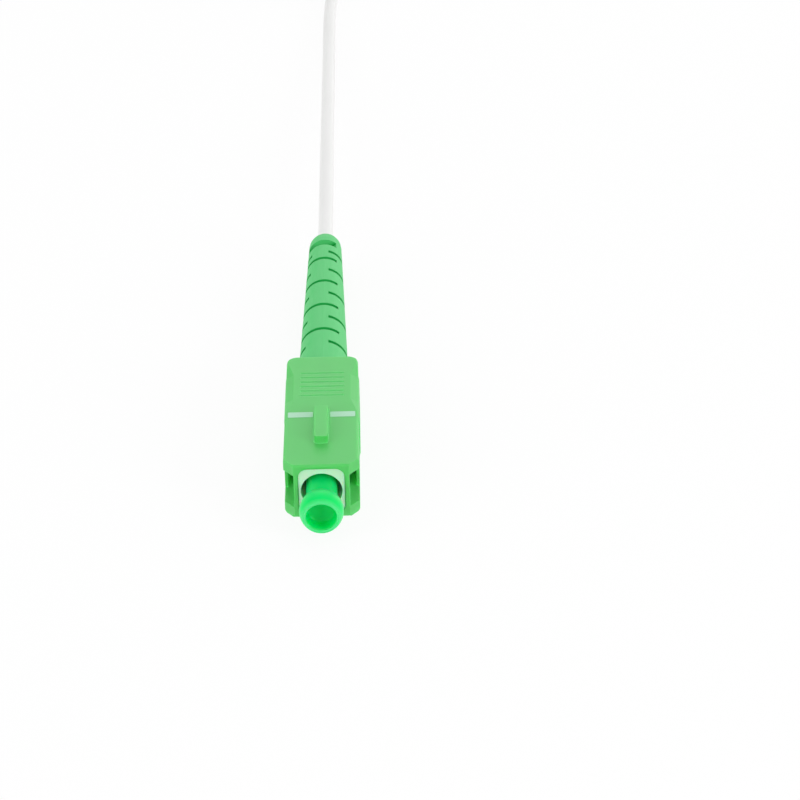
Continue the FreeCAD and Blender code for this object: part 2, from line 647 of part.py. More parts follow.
# ----------------------------------------------------------------- cable, hank and tie
# Points of the free cable's route as (x, station, z), from the crimp to the hank.
CABLE_ROUTE = [
    (0.0, JACKET_STATION, AXIS_Z),
    (0.0, 80.0, AXIS_Z),
    (0.0, 135.0, CABLE_D / 2 + 0.15),
    (0.0, 163.5, CABLE_D / 2),
    (JOIN_X, JOIN_STATION, CABLE_D / 2 + 2 * TIE_THICKNESS),
]


def cord_path(route):
    """Straight runs joined by tangent arcs; prints each arc's radius and returns the wire."""
    points = [V(x, at(s), z) for x, s, z in route]
    runs = [points[k + 1] - points[k] for k in range(len(points) - 1)]
    edges = []
    start = points[0]
    for k in range(1, len(points) - 1):
        before = V(runs[k - 1]).normalize()
        after = V(runs[k]).normalize()
        turn = before.getAngle(after)
        leg = 0.45 * min(runs[k - 1].Length, runs[k].Length)
        radius = leg / math.tan(turn / 2)
        print("cable arc %d: turn %.2f deg, radius %.1f mm" % (k, math.degrees(turn), radius))
        enter = points[k] - before * leg
        leave = points[k] + after * leg
        sag = radius / math.cos(turn / 2) - radius
        middle = points[k] + (after - before).normalize() * sag
        edges.append(Part.LineSegment(start, enter).toShape())
        edges.append(Part.Arc(enter, middle, leave).toShape())
        start = leave
    edges.append(Part.LineSegment(start, points[-1]).toShape())
    return Part.Wire(edges)


def cable(hank):
    """Free stretch of the cable, from the stripped end to where it joins the hank."""
    path = cord_path(CABLE_ROUTE)
    first = CABLE_ROUTE[0]
    section = Part.Wire(Part.makeCircle(CABLE_D / 2, V(first[0], at(first[1]), first[2]), V(0, 1, 0)))
    body = path.makePipeShell([section], True, False, 1)
    ideal = math.pi * CABLE_D ** 2 / 4 * path.Length
    print("cable tube: %.1f mm long, volume %.4f of section x length" % (path.Length, body.Volume / ideal))
    return body.cut(hank)


def hank_point(x, y):
    """Point at the foot of the hank, measured from its middle."""
    return V(HANK_X + x, at(HANK_STATION) + y, TIE_THICKNESS)


def lap_outline(outward):
    """Waisted loop that lies this far outside the middle of the innermost turn."""
    reach = HANK_FOLD_R + outward
    x = reach * math.cos(LEAN)
    y = FOLD_Y - reach * math.sin(LEAN)
    waist = CABLE_D / 2 + outward
    end = FOLD_Y + reach
    right = Part.Arc(hank_point(x, -y), hank_point(waist, 0), hank_point(x, y))
    far = Part.Arc(hank_point(x, y), hank_point(0, end), hank_point(-x, y))
    left = Part.Arc(hank_point(-x, y), hank_point(-waist, 0), hank_point(-x, -y))
    near = Part.Arc(hank_point(-x, -y), hank_point(0, -end), hank_point(x, -y))
    return Part.Wire([arc.toShape() for arc in (right, far, left, near)])


def fold_eye(side):
    """Teardrop opening inside the fold at one end of the hank."""
    r = HANK_FOLD_R - CABLE_D / 2
    x = r * math.cos(LEAN)
    y = FOLD_Y - r * math.sin(LEAN)
    tip = hank_point(0, side * (FOLD_Y - r / math.sin(LEAN)))
    right = hank_point(x, side * y)
    left = hank_point(-x, side * y)
    bow = Part.Arc(right, hank_point(0, side * (FOLD_Y + r)), left).toShape()
    return Part.Wire([bow, Part.makeLine(left, tip), Part.makeLine(tip, right)])


def cable_hank():
    """Outer shape of the tied hank that holds the rest of the cable's length."""
    up = V(0, 0, HANK_HEIGHT)
    body = Part.Face(lap_outline(OUTER_TURN + CABLE_D / 2)).extrude(up)
    return body.cut([Part.Face(fold_eye(side)).extrude(up) for side in (1, -1)])


def hank_tie(hank):
    """Hook-and-loop strap round the hank's waist, which the hank rests on."""
    half = HANK_COLUMNS * CABLE_D + TIE_EASE + TIE_THICKNESS
    middle = HANK_STATION
    strap = block(HANK_X - half, HANK_X + half, 0, HANK_HEIGHT + 2 * TIE_THICKNESS,
                  middle - TIE_WIDTH / 2, middle + TIE_WIDTH / 2)
    strap = strap.makeChamfer(TIE_CORNER * TIE_THICKNESS, [e for e in strap.Edges if along_y(e)])
    return strap.cut(hank)


# ------------------------------------------------------------------------------ output
def build():
    hank = cable_hank()
    return {
        "outer_housing": outer_housing(),
        "plug_frame": plug_frame(),
        "ferrule": ferrule(),
        "ferrule_flange": ferrule_flange(),
        "guide_tube": guide_tube(),
        "ferrule_spring": ferrule_spring(),
        "bare_fibre": bare_fibre(),
        "buffered_fibre": buffered_fibre(),
        "stop_ring": stop_ring(),
        "aramid_yarn": aramid_yarn(),
        "crimp_ring": crimp_ring(),
        "boot": boot(),
        "dust_cap": dust_cap(),
        "cable": cable(hank),
        "cable_hank": hank,
        "hank_tie": hank_tie(hank),
    }


os.makedirs("parts", exist_ok=True)
for name, shape in build().items():
    if shape.ShapeType != "Solid" and len(shape.Solids) == 1:
        shape = shape.Solids[0]
    print("%-16s solids %d valid %s volume %.3f" % (name, len(shape.Solids), shape.isValid(), shape.Volume))
    shape.exportStep("parts/%s.step" % name)
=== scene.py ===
import math

import bmesh
import bpy
from mathutils import Matrix, Vector


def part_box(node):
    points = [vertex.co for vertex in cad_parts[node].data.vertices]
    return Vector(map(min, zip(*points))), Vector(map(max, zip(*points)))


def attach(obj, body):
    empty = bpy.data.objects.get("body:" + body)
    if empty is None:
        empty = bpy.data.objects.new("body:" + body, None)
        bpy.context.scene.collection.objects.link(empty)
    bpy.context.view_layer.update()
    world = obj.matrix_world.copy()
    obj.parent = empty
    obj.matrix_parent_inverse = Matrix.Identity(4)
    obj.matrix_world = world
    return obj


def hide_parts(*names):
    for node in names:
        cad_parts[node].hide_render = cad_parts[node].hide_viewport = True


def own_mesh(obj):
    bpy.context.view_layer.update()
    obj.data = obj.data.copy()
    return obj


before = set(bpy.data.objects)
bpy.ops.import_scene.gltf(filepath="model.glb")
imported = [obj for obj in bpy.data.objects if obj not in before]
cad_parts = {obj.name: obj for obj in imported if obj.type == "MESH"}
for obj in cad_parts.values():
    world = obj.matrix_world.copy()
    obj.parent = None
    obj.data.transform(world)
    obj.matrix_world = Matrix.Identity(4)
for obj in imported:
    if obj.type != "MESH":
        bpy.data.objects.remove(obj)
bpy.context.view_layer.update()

# A push-pull fibre connector with its dust cap on, and its white cable tied in a hank.
# Lengths are in metres.
MM = 0.001

# ------------------------------------------------------------------ places from the frame
housing_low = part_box("outer_housing")[0]
plug_low, plug_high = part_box("plug_frame")
cap_low, cap_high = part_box("dust_cap")
hank_low, hank_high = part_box("cable_hank")
tie_low, tie_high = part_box("hank_tie")
spring_low, spring_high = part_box("ferrule_spring")

FRONT_Y = housing_low.y
AXIS_Z = (plug_low.z + plug_high.z) / 2
# The housing lies on the floor, and the fibre runs halfway up it.
TOP_FACE_Z = 2 * AXIS_Z


def at(station):
    """Row Y of a place measured in millimetres back from the housing's front face."""
    return FRONT_Y + station * MM


# ------------------------------------------------------------------------ camera
def make_camera():
    """Long lens, a little to the right of the connector and a third of a right angle above it."""
    camera_data = bpy.data.cameras.new("camera")
    camera_data.sensor_width = 36.0
    camera_data.lens = 103.5
    camera_data.clip_start = 0.01
    camera_data.clip_end = 10.0
    camera = bpy.data.objects.new("camera", camera_data)
    bpy.context.scene.collection.objects.link(camera)
    right = Vector((0.9997, -0.02046, -0.01382))
    up = Vector((0.02252, 0.52645, 0.84991))
    back = right.cross(up)
    turn = Matrix((right, up, back)).transposed().to_4x4()
    place = Matrix.Translation((0.00676, -0.238675, 0.156375))
    camera.matrix_world = place @ turn
    bpy.context.scene.camera = camera
    bpy.context.scene.view_settings.view_transform = "Standard"


# ------------------------------------------------------------------------- cable
CABLE_D = 2.1 * MM
# The route from the stripped end to the hank, in metres.
CABLE_ROUTE = [
    (0.0, 0.01333, 0.0037),
    (0.0, 0.0675, 0.0037),
    (0.0, 0.1225, 0.0012),
    (0.0, 0.1510, 0.00105),
]
# The hank: two turns side by side and four high, waisted where the tie holds them. FOLD_R is
# the radius of the inner turn at each end, and FOLD_Y how far its centre is from the tie.
FOLD_R = 6.3 * MM
FOLD_Y = 18.0 * MM
# Where a lap starts on the near bend.
JOIN_TURN = math.radians(-15)
HANK_LAPS = 6.95
# A step is (laps wound when it starts, column change, row change), in cable diameters.
HANK_STEPS = [(0.875, -1, 0), (1.75, 0, 1), (2.625, 1, 0), (3.5, 0, 1), (4.375, -1, 0),
              (5.25, 0, 1), (6.125, 1, 0)]
STEP_LAPS = 0.125
POINTS_PER_END = 16
POINTS_AFTER_JOIN = 3
POINTS_PER_SIDE = 5


def eased(t):
    """Smooth climb from zero to one."""
    t = min(1.0, max(0.0, t))
    return t * t * (3 - 2 * t)


def arc_points(centre, radius, first, last, count):
    """Control points of a smooth arc, a little outside it so that the spline lies on it."""
    step = (last - first) / count
    reach = radius / math.cos(step / 2)
    turns = [first + (k + 0.5) * step for k in range(count)]
    return [(centre[0] + reach * math.cos(t), centre[1] + reach * math.sin(t)) for t in turns]


def lap_outline(outward):
    """One waisted lap about the hank's middle; it starts and ends on the bend nearest the boot."""
    waist_r = (FOLD_Y ** 2 + CABLE_D ** 2 / 4 - FOLD_R ** 2) / (2 * FOLD_R - CABLE_D)
    waist_x = waist_r + CABLE_D / 2
    lean = math.atan2(FOLD_Y, waist_x)
    end_r = FOLD_R + outward
    side_r = waist_r - outward
    points = arc_points((0, -FOLD_Y), end_r, JOIN_TURN, lean, POINTS_AFTER_JOIN)
    points += arc_points((waist_x, 0), side_r, math.pi + lean, math.pi - lean, POINTS_PER_SIDE)
    points += arc_points((0, FOLD_Y), end_r, -lean, math.pi + lean, POINTS_PER_END)
    points += arc_points((-waist_x, 0), side_r, lean, -lean, POINTS_PER_SIDE)
    points += arc_points((0, -FOLD_Y), end_r, math.pi - lean, 2 * math.pi + JOIN_TURN,
                         POINTS_PER_END - POINTS_AFTER_JOIN)
    return points


def hank_points():
    """Laps wound out and in between the two columns, one row higher every second lap."""
    centre_x = (hank_low.x + hank_high.x) / 2
    centre_y = (hank_low.y + hank_high.y) / 2
    per_lap = len(lap_outline(0))
    points = []
    for k in range(int(HANK_LAPS * per_lap)):
        laps = k / per_lap
        column = 1 + sum(out * eased((laps - start) / STEP_LAPS) for start, out, _ in HANK_STEPS)
        row = sum(up * eased((laps - start) / STEP_LAPS) for start, _, up in HANK_STEPS)
        x, y = lap_outline(column * CABLE_D)[k % per_lap]
        points.append((centre_x + x, centre_y + y, hank_low.z + CABLE_D * (row + 0.5)))
    return points


def make_cable():
    """Single-fibre cable on one smooth line: out of the boot, down to the floor, into its hank."""
    curve = bpy.data.curves.new("cable_cord", "CURVE")
    curve.dimensions = "3D"
    points = CABLE_ROUTE + hank_points()
    spline = curve.splines.new("NURBS")
    spline.points.add(len(points) - 1)
    for point, place in zip(spline.points, points):
        point.co = (*place, 1.0)
        point.radius = CABLE_D / 2
    spline.order_u = 3
    spline.use_endpoint_u = True
    spline.resolution_u = 8
    curve.bevel_depth = 1.0
    curve.bevel_resolution = 10
    curve.use_fill_caps = True
    cord = bpy.data.objects.new("cable_cord", curve)
    bpy.context.scene.collection.objects.link(cord)
    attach(cord, "plug_body")
    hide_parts("cable", "cable_hank")
    return cord


# --------------------------------------------------------------------- materials
def srgb(code):
    """Linear RGBA of an sRGB hex colour."""
    channels = [int(code[k:k + 2], 16) / 255 for k in (1, 3, 5)]
    linear = [c / 12.92 if c <= 0.04045 else ((c + 0.055) / 1.055) ** 2.4 for c in channels]
    return (*linear, 1.0)


def scale_for(size_mm):
    """Texture scale at which a pattern repeats about once in this many millimetres."""
    return 1 / (size_mm * MM)


def add_node(tree, kind, settings, links):
    """Add a node, set its sockets and properties, and link its inputs."""
    node = tree.nodes.new(kind)
    for name, value in settings.items():
        if isinstance(name, int) or name in node.inputs:
            node.inputs[name].default_value = value
        else:
            setattr(node, name, value)
    for name, source in links.items():
        tree.links.new(source, node.inputs[name])
    return node


def start_material(name, **sockets):
    """Material with one principled shader; returns it with its tree, shader and coordinates."""
    material = bpy.data.materials.new(name)
    material.use_nodes = True
    tree = material.node_tree
    shader = tree.nodes["Principled BSDF"]
    for socket, value in sockets.items():
        shader.inputs[socket.replace("_", " ")].default_value = value
    place = add_node(tree, "ShaderNodeTexCoord", {}, {}).outputs["Object"]
    return material, tree, shader, place


def two_tones(tree, shader, factor, first, second):
    """Base colour between two tones of one material, by a factor from zero to one."""
    tone = add_node(tree, "ShaderNodeMix", {"data_type": "RGBA", 6: srgb(first), 7: srgb(second)},
                    {0: factor})
    tree.links.new(tone.outputs[2], shader.inputs["Base Color"])


def grained_surface(tree, shader, place, grain_mm, depth_mm, rough_low, rough_high, edge_mm=0.02):
    """Fine grain as a shallow bump, gloss that varies with it, and edges rounded in the shading."""
    grain = add_node(tree, "ShaderNodeTexNoise", {"Scale": scale_for(grain_mm), "Detail": 3.0},
                     {"Vector": place})
    edge = add_node(tree, "ShaderNodeBevel", {"samples": 4, "Radius": edge_mm * MM}, {})
    bump = add_node(tree, "ShaderNodeBump", {"Strength": 1.0, "Distance": depth_mm * MM},
                    {"Height": grain.outputs[0], "Normal": edge.outputs[0]})
    gloss = add_node(tree, "ShaderNodeMapRange", {"To Min": rough_low, "To Max": rough_high},
                     {"Value": grain.outputs[0]})
    tree.links.new(bump.outputs["Normal"], shader.inputs["Normal"])
    tree.links.new(gloss.outputs[0], shader.inputs["Roughness"])


def drifting_tones(tree, shader, place, size_mm, first, second):
    """Two close tones that change over slowly, in patches of this size."""
    drift = add_node(tree, "ShaderNodeTexNoise", {"Scale": scale_for(size_mm), "Detail": 2.0},
                     {"Vector": place})
    two_tones(tree, shader, drift.outputs[0], first, second)


def melt_drift(tree, place, size_mm, share=0.1):
    """Small change of tone to either side, from how the melt filled the mould."""
    flow = add_node(tree, "ShaderNodeTexNoise", {"Scale": scale_for(size_mm), "Detail": 2.0},
                    {"Vector": place})
    return add_node(tree, "ShaderNodeMath", {"operation": "MULTIPLY_ADD", 1: share, 2: -share / 2},
                    {0: flow.outputs[0]}).outputs[0]


def painted_shading_mask(tree, reach_mm, closed, wide):
    """Mask for painted light and shade: zero where the closed share of the surroundings is seen, one at
    the wide share.
    """
    sky = add_node(tree, "ShaderNodeAmbientOcclusion", {"samples": 8, "Distance": reach_mm * MM}, {})
    return add_node(tree, "ShaderNodeMapRange", {"From Min": closed, "From Max": wide},
                    {"Value": sky.outputs["AO"]}).outputs[0]


def moulded_pbt_green():
    # Glass-filled PBT, injection moulded in a fine spark-eroded tool: an even satin green that
    # lets a little light through. Its narrow channels and its shallow grooves are painted a
    # lighter, brighter green where little of the surroundings is in sight: painted light.
    # The mould's grain of 0.03 mm is too fine to show, so it is drawn at 0.16 mm.
    material, tree, shader, place = start_material("moulded_pbt_green", IOR=1.55, Subsurface_Weight=0.5,
                                                   Subsurface_Scale=1.2 * MM,
                                                   Subsurface_Radius=(0.25, 1.0, 0.4))
    # Painted light: the base colour turns lighter where these masks find channels and grooves closed.
    channels = painted_shading_mask(tree, reach_mm=2.5, closed=0.1, wide=0.62)
    painted_groove_light = painted_shading_mask(tree, reach_mm=0.14, closed=0.2, wide=0.9)
    tone = add_node(tree, "ShaderNodeMath", {"operation": "MULTIPLY_ADD"},
                    {0: channels, 1: painted_groove_light, 2: melt_drift(tree, place, size_mm=6.0)})
    two_tones(tree, shader, tone.outputs[0], "#80ff9a", "#4dbf5b")
    grained_surface(tree, shader, place, grain_mm=0.16, depth_mm=0.003, rough_low=0.40,
                    rough_high=0.52, edge_mm=0.15)
    return material


def moulded_pbt_white():
    # Natural white PBT, injection moulded: slightly milky, so that light glows a little in it.
    # Its tones are painted pale green, a painted reflection of the green housing round it, and
    # it is painted paler inside the bore: painted light.
    material, tree, shader, place = start_material("moulded_pbt_white", IOR=1.53, Subsurface_Weight=0.6,
                                                   Subsurface_Scale=1.0 * MM)
    # Painted light: paler where this mask finds the bore closed.
    painted_bore_light = painted_shading_mask(tree, reach_mm=2.0, closed=0.2, wide=1.0)
    two_tones(tree, shader, painted_bore_light, "#e8ffea", "#c1dfc3")
    grained_surface(tree, shader, place, grain_mm=0.14, depth_mm=0.003, rough_low=0.34,
                    rough_high=0.48)
    return material


def soft_tpe_green():
    # Thermoplastic elastomer, moulded over a core pin: matt and cooler in tone than the housing.
    # Its slots are painted a deeper, darker green where little of the surroundings is in sight:
    # painted shade.
    # Its faint drag marks run along the boot, 0.3 mm apart.
    material, tree, shader, place = start_material("soft_tpe_green", IOR=1.50)
    # Painted shade: darker green where this mask finds the slots closed.
    painted_slot_shade = painted_shading_mask(tree, reach_mm=1.0, closed=0.6, wide=0.92)
    tone = add_node(tree, "ShaderNodeMath", {"operation": "ADD"},
                    {0: painted_slot_shade, 1: melt_drift(tree, place, size_mm=7.0)})
    two_tones(tree, shader, tone.outputs[0], "#00a844", "#48c069")
    along = add_node(tree, "ShaderNodeMapping", {"Scale": (1.0, 0.12, 1.0)}, {"Vector": place})
    grained_surface(tree, shader, along.outputs[0], grain_mm=0.3, depth_mm=0.005, rough_low=0.46,
                    rough_high=0.60, edge_mm=0.08)
    return material


def soft_pvc_green():
    # Plasticised PVC, dip-moulded: smooth, and clear enough for light to glow through it. The
    # bloom on its skin reflects less than clean PVC and is tinted by the green below.
    # Its lip is painted paler over the first half millimetre: a painted highlight on its rim.
    material, tree, shader, place = start_material("soft_pvc_green", IOR=1.38, Subsurface_Weight=0.85,
                                                   Subsurface_Scale=2.0 * MM,
                                                   Subsurface_Radius=(0.2, 1.0, 0.45),
                                                   Specular_Tint=srgb("#90f0b0"))
    part = add_node(tree, "ShaderNodeSeparateXYZ", {}, {0: place})
    # Painted highlight: the front half millimetre of the cap is a paler green.
    painted_highlight_depth = 0.5 * MM
    painted_rim_highlight = add_node(tree, "ShaderNodeMapRange",
                   {"From Min": cap_low.y + painted_highlight_depth, "From Max": cap_low.y},
                   {"Value": part.outputs["Y"]})
    two_tones(tree, shader, painted_rim_highlight.outputs[0], "#00d66a", "#52cd80")
    grained_surface(tree, shader, place, grain_mm=0.5, depth_mm=0.006, rough_low=0.24,
                    rough_high=0.36)
    return material


def printed_white_ink():
    # Pad-printed white ink, one thin coat: the green shows through where the coat is thin.
    # The speckle of the coat is 0.15 mm across.
    material, tree, shader, place = start_material("printed_white_ink", IOR=1.48)
    speckle_mm = 0.15
    speckle = add_node(tree, "ShaderNodeTexNoise", {"Scale": scale_for(speckle_mm), "Detail": 4.0},
                       {"Vector": place})
    two_tones(tree, shader, speckle.outputs[0], "#9bd5b3", "#bbe2c8")
    grained_surface(tree, shader, place, grain_mm=speckle_mm, depth_mm=0.003, rough_low=0.48,
                    rough_high=0.62)
    return material


def polished_zirconia():
    # Sintered zirconia, ground and polished: a warm white ceramic with a hard gloss.
    material, tree, shader, place = start_material("polished_zirconia", IOR=2.15, Subsurface_Weight=0.15,
                                                   Subsurface_Scale=0.3 * MM)
    drifting_tones(tree, shader, place, 1.0, "#f1efe6", "#f6f4ec")
    grained_surface(tree, shader, place, grain_mm=0.1, depth_mm=0.0008, rough_low=0.10,
                    rough_high=0.18)
    return material


def worked_metal(name, first, second, groove_mm, depth_mm, rough_low, rough_high, closeness):
    """Metal with fine tool lines; closeness says how tightly they repeat along each axis."""
    material, tree, shader, place = start_material(name, Metallic=1.0)
    lines = add_node(tree, "ShaderNodeMapping", {"Scale": closeness}, {"Vector": place})
    drifting_tones(tree, shader, place, 2.0, first, second)
    grained_surface(tree, shader, lines.outputs[0], groove_mm, depth_mm, rough_low, rough_high)
    return material


def nickel_plated_brass():
    # Brass, turned on an automatic lathe and nickel plated: grey with a warm cast, and fine
    # rings 0.08 mm apart where the tool passed.
    return worked_metal("nickel_plated_brass", "#b7b2a6", "#c2beb4", groove_mm=0.08,
                        depth_mm=0.0015, rough_low=0.22, rough_high=0.34,
                        closeness=(0.05, 1.0, 0.05))


def drawn_spring_steel():
    # Stainless spring wire, cold drawn: a dull grey with a fine, even grain.
    return worked_metal("drawn_spring_steel", "#a6a6a8", "#b2b2b4", groove_mm=0.12,
                        depth_mm=0.0015, rough_low=0.26, rough_high=0.38,
                        closeness=(1.0, 1.0, 1.0))


def pressed_aluminium():
    # Soft aluminium, drawn into a ring and pressed in a hexagonal die: pale and satin, with
    # faint lines along it.
    return worked_metal("pressed_aluminium", "#b4b5b7", "#c0c1c3", groove_mm=0.15,
                        depth_mm=0.002, rough_low=0.34, rough_high=0.46,
                        closeness=(1.0, 0.15, 1.0))


def extruded_ptfe():
    # PTFE, ram extruded: waxy, milky white, and slippery smooth.
    material, tree, shader, place = start_material("extruded_ptfe", IOR=1.38, Subsurface_Weight=0.3,
                                                   Subsurface_Scale=0.4 * MM)
    drifting_tones(tree, shader, place, 2.0, "#f0f0ee", "#f6f6f4")
    grained_surface(tree, shader, place, grain_mm=0.2, depth_mm=0.002, rough_low=0.34,
                    rough_high=0.44)
    return material


def tight_buffer_nylon():
    # Nylon buffer, extruded tight on the fibre: smooth, off white and slightly glossy.
    material, tree, shader, place = start_material("tight_buffer_nylon", IOR=1.53)
    drifting_tones(tree, shader, place, 1.5, "#f1f1ec", "#f6f6f2")
    grained_surface(tree, shader, place, grain_mm=0.12, depth_mm=0.001, rough_low=0.30,
                    rough_high=0.40)
    return material


def drawn_silica():
    # Fused silica, drawn to a fibre: clear glass with a faint milkiness from its cut end.
    material, tree, shader, place = start_material("drawn_silica", IOR=1.46, Transmission_Weight=0.9)
    drifting_tones(tree, shader, place, 0.5, "#e8f0f2", "#eef4f5")
    grained_surface(tree, shader, place, grain_mm=0.05, depth_mm=0.0004, rough_low=0.03,
                    rough_high=0.08)
    return material


def spread_aramid():
    # Aramid yarn, spread round the barrel: golden filaments that run along the connector.
    # Filaments are 0.012 mm thick, so bundles 0.12 mm across are drawn instead.
    material, tree, shader, place = start_material("spread_aramid", Sheen_Weight=0.3)
    along = add_node(tree, "ShaderNodeMapping", {"Scale": (1.0, 0.04, 1.0)}, {"Vector": place})
    bundle_mm = 0.12
    strands = add_node(tree, "ShaderNodeTexNoise", {"Scale": scale_for(bundle_mm), "Detail": 4.0},
                       {"Vector": along.outputs[0]})
    two_tones(tree, shader, strands.outputs[0], "#c9a93a", "#efd570")
    grained_surface(tree, shader, along.outputs[0], grain_mm=bundle_mm, depth_mm=0.03,
                    rough_low=0.42, rough_high=0.62)
    return material


def extruded_jacket_white():
    # Low-smoke jacket compound, extruded over the yarn: matt white, with a grain of 0.2 mm
    # from its fillers.
    material, tree, shader, place = start_material("extruded_jacket_white", IOR=1.50)
    drifting_tones(tree, shader, place, 9.0, "#e1e1e0", "#e5e5e4")
    grained_surface(tree, shader, place, grain_mm=0.2, depth_mm=0.004, rough_low=0.46,
                    rough_high=0.60)
    return material


def woven_nylon_tie():
    # Nylon hook-and-loop strap, woven and brushed on its loop face: a soft white pile.
    # Threads cross every 0.35 mm, and the pile's fuzz is drawn at 0.1 mm.
    material, tree, shader, place = start_material("woven_nylon_tie", Sheen_Weight=0.4, IOR=1.53)
    # A wave texture of scale one repeats every 2 pi / 20 metres.
    thread_scale = 2 * math.pi / 20 / (0.35 * MM)
    threads = [add_node(tree, "ShaderNodeTexWave", {"Scale": thread_scale, "bands_direction": way,
                                                    "Distortion": 0.6}, {"Vector": place})
               for way in ("X", "Y")]
    weave = add_node(tree, "ShaderNodeMath", {"operation": "MULTIPLY"},
                     {0: threads[0].outputs["Fac"], 1: threads[1].outputs["Fac"]})
    fuzz = add_node(tree, "ShaderNodeTexNoise", {"Scale": scale_for(0.1), "Detail": 5.0},
                    {"Vector": place})
    height = add_node(tree, "ShaderNodeMath", {"operation": "ADD"},
                      {0: weave.outputs[0], 1: fuzz.outputs[0]})
    bump = add_node(tree, "ShaderNodeBump", {"Strength": 0.8, "Distance": 0.06 * MM},
                    {"Height": height.outputs[0]})
    two_tones(tree, shader, weave.outputs[0], "#dededa", "#ecece8")
    shader.inputs["Roughness"].default_value = 0.85
    tree.links.new(bump.outputs["Normal"], shader.inputs["Normal"])
    return material


def seen_directly(tree):
    """One for what the camera, gloss and clear material see, and zero for soft light."""
    ray = add_node(tree, "ShaderNodeLightPath", {}, {})
    either = add_node(tree, "ShaderNodeMath", {"operation": "MAXIMUM"},
                      {0: ray.outputs["Is Camera Ray"], 1: ray.outputs["Is Glossy Ray"]})
    return add_node(tree, "ShaderNodeMath", {"operation": "MAXIMUM"},
                    {0: either.outputs[0], 1: ray.outputs["Is Transmission Ray"]}).outputs[0]


def studio_floor():
    # Matt white sheet. What the camera sees of it is mostly plain white, with a tenth of its
    # real shading, so that the object's shadow stays.
    material = bpy.data.materials.new("studio_floor")
    material.use_nodes = True
    tree = material.node_tree
    tree.nodes.clear()
    paper = add_node(tree, "ShaderNodeBsdfDiffuse", {"Color": srgb("#f8f8f8")}, {})
    white = add_node(tree, "ShaderNodeEmission", {"Color": srgb("#ffffff"), "Strength": 1.0}, {})
    share = add_node(tree, "ShaderNodeMath", {"operation": "MULTIPLY", 1: 0.9},
                     {0: seen_directly(tree)})
    mixed = add_node(tree, "ShaderNodeMixShader", {},
                     {0: share.outputs[0], 1: paper.outputs[0], 2: white.outputs[0]})
    add_node(tree, "ShaderNodeOutputMaterial", {}, {"Surface": mixed.outputs[0]})
    return material


def finish_with(piece, material):
    """Give the whole piece one material, smooth where it is round and sharp at its edges."""
    sharpest_round = math.radians(32)
    piece.data.materials.clear()
    piece.data.materials.append(material)
    piece.data.shade_smooth()
    piece.data.set_sharp_from_angle(angle=sharpest_round)


# --------------------------------------------------------------------- mesh building
def new_piece(name, verts, faces, body, material):
    """Mesh object in row metres that rides on a body."""
    mesh = bpy.data.meshes.new(name)
    mesh.from_pydata(verts, [], faces)
    work = bmesh.new()
    work.from_mesh(mesh)
    bmesh.ops.recalc_face_normals(work, faces=work.faces)
    work.to_mesh(mesh)
    work.free()
    piece = bpy.data.objects.new(name, mesh)
    bpy.context.scene.collection.objects.link(piece)
    finish_with(piece, material)
    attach(piece, body)
    return piece


def rounded_outline(corners, steps=6):
    """Points along an outline whose corners, given as (along, across, rounding), are rounded."""
    points = []
    for k, (along, across, radius) in enumerate(corners):
        here = Vector((along, across))
        if radius == 0:
            points.append(here)
            continue
        back = (Vector(corners[k - 1][:2]) - here).normalized()
        ahead = (Vector(corners[(k + 1) % len(corners)][:2]) - here).normalized()
        half = back.angle(ahead) / 2
        leg = radius / math.tan(half)
        start = here + back * leg
        end = here + ahead * leg
        centre = here + (back + ahead).normalized() * radius / math.sin(half)
        for step in range(steps + 1):
            spoke = (start - centre).slerp(end - centre, step / steps)
            points.append(centre + spoke.normalized() * radius)
    return points


def lathe(name, outline, body, material, segments=96):
    """Turn an outline of (row Y, radius) about the fibre axis; its two ends lie on the axis."""
    verts = []
    faces = []
    first = (0.0, outline[0][0], AXIS_Z)
    last = (0.0, outline[-1][0], AXIS_Z)
    rings = outline[1:-1]
    for y, radius in rings:
        for k in range(segments):
            turn = 2 * math.pi * k / segments
            verts.append((radius * math.sin(turn), y, AXIS_Z + radius * math.cos(turn)))
    for ring in range(len(rings) - 1):
        for k in range(segments):
            after = (k + 1) % segments
            low = ring * segments
            high = low + segments
            faces.append((low + k, low + after, high + after, high + k))
    verts += [first, last]
    tail = (len(rings) - 1) * segments
    for k in range(segments):
        after = (k + 1) % segments
        faces.append((after, k, len(verts) - 2))
        faces.append((tail + k, tail + after, len(verts) - 1))
    return new_piece(name, verts, faces, body, material)


# ---------------------------------------------------------------------------- pieces
def dust_cap(material):
    """Soft cap: thin neck over the ferrule, and a ball-shaped knob cut off flat, with a dimple."""
    back = cap_high.y
    front = cap_low.y
    knob_r = (cap_high.x - cap_low.x) / 2
    knob_y = front + 1.45 * MM
    neck_r = knob_r - 0.77 * MM
    bore_r = neck_r - 0.58 * MM
    bore_end = front + 4.4 * MM
    mouth = back - 0.3 * MM
    mouth_flare = 0.25 * MM
    mouth_draft = 0.02 * MM
    rim_r = knob_r - 0.42 * MM
    dimple_r = knob_r - 0.78 * MM
    dimple_draft = 0.1 * MM
    dimple_corner = front + 1.7 * MM
    dimple_end = front + 2.0 * MM
    # The ball's outline, from where it meets the neck to where its front is cut off.
    ball_start = math.radians(45)
    ball_step = math.radians(7)
    ball = [(knob_y + knob_r * math.cos(ball_start + k * ball_step),
             knob_r * math.sin(ball_start + k * ball_step), 0) for k in range(11)]
    throat = ball[0][0] + 0.1 * MM
    corners = [(bore_end, 0, 0), (bore_end, bore_r, 0.25 * MM),
               (mouth, bore_r, 0.1 * MM), (back, bore_r + mouth_flare, 0.08 * MM),
               (back, neck_r - mouth_draft, 0.1 * MM), (mouth, neck_r, 0.2 * MM),
               (throat, neck_r, 0), *ball,
               (front, rim_r, 0.16 * MM), (front, dimple_r, 0.12 * MM),
               (dimple_corner, dimple_r - dimple_draft, 0.6 * MM), (dimple_end, 0, 0)]
    cap = lathe("cap_shell", rounded_outline(corners), "cap", material)
    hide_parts("dust_cap")


